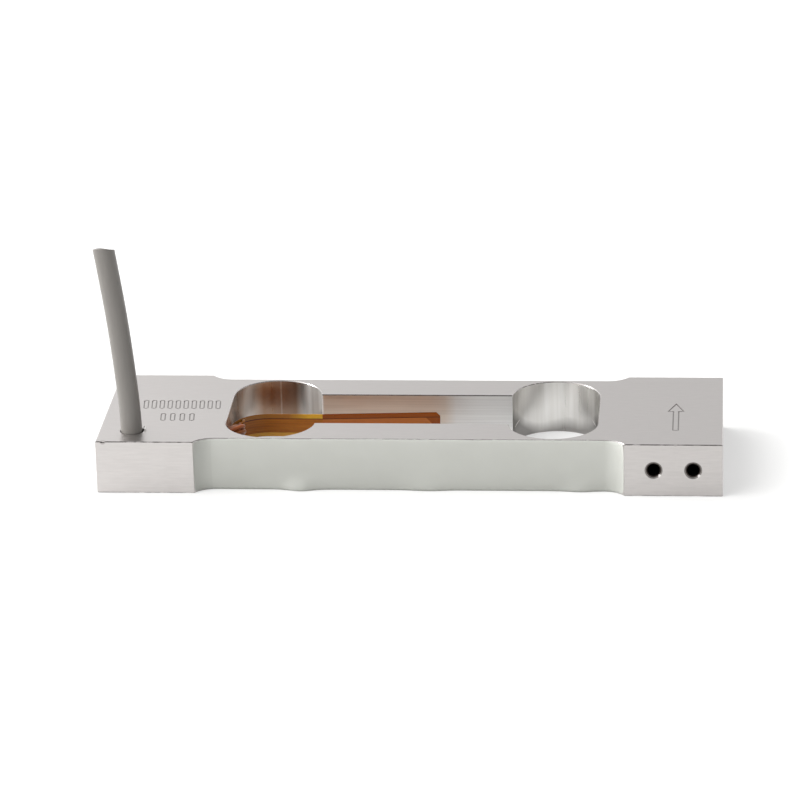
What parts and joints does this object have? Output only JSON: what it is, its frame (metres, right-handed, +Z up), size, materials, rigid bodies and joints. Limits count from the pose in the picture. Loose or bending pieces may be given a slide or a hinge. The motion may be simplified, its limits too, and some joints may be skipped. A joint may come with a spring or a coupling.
{
  "type": "strain gauge load cell",
  "caption": "Thin aluminium single-point load cell beam with windowed flexure, silicone-covered strain gauges and a round cable.",
  "frame": {"origin": "centre of the beam's bottom face, on which it lies", "axes": "+X along the beam towards the load end, +Y towards the back face, the way the load is applied, +Z up"},
  "size_m": [0.16, 0.05, 0.0639],
  "materials": {
    "milled_aluminium": "fine milled, satin",
    "white_silicone": "soft satin",
    "polyimide_film": "glossy film",
    "copper": "bright",
    "solder": "bright",
    "enamelled_wire": "enamel",
    "chip_resistor": "matte",
    "grey_jacket": "satin",
    "tinned_braid": "woven",
    "red_insulation": "satin",
    "white_insulation": "satin",
    "green_insulation": "satin",
    "black_insulation": "satin",
    "foil_alloy": "etched foil"
  },
  "bodies": {
    "root": {"beam_body": "milled_aluminium", "cable_jacket": "grey_jacket", "cable_sealant": "white_silicone", "cable_shield": "tinned_braid", "conductor_black": "black_insulation", "conductor_cores": "copper", "conductor_green": "green_insulation", "conductor_red": "red_insulation", "conductor_solder": "solder", "conductor_white": "white_insulation", "flex_film": "polyimide_film", "flex_traces": "copper", "gauge_carrier_back_left": "polyimide_film", "gauge_carrier_back_right": "polyimide_film", "gauge_carrier_front_left": "polyimide_film", "gauge_carrier_front_right": "polyimide_film", "gauge_grid_back_left": "foil_alloy", "gauge_grid_back_right": "foil_alloy", "gauge_grid_front_left": "foil_alloy", "gauge_grid_front_right": "foil_alloy", "gauge_solder_back": "solder", "gauge_solder_front": "solder", "lead_wires_back": "enamelled_wire", "lead_wires_front": "enamelled_wire", "potting_back": "white_silicone", "potting_front": "white_silicone", "trim_resistors": "chip_resistor"}
  },
  "joints": []
}
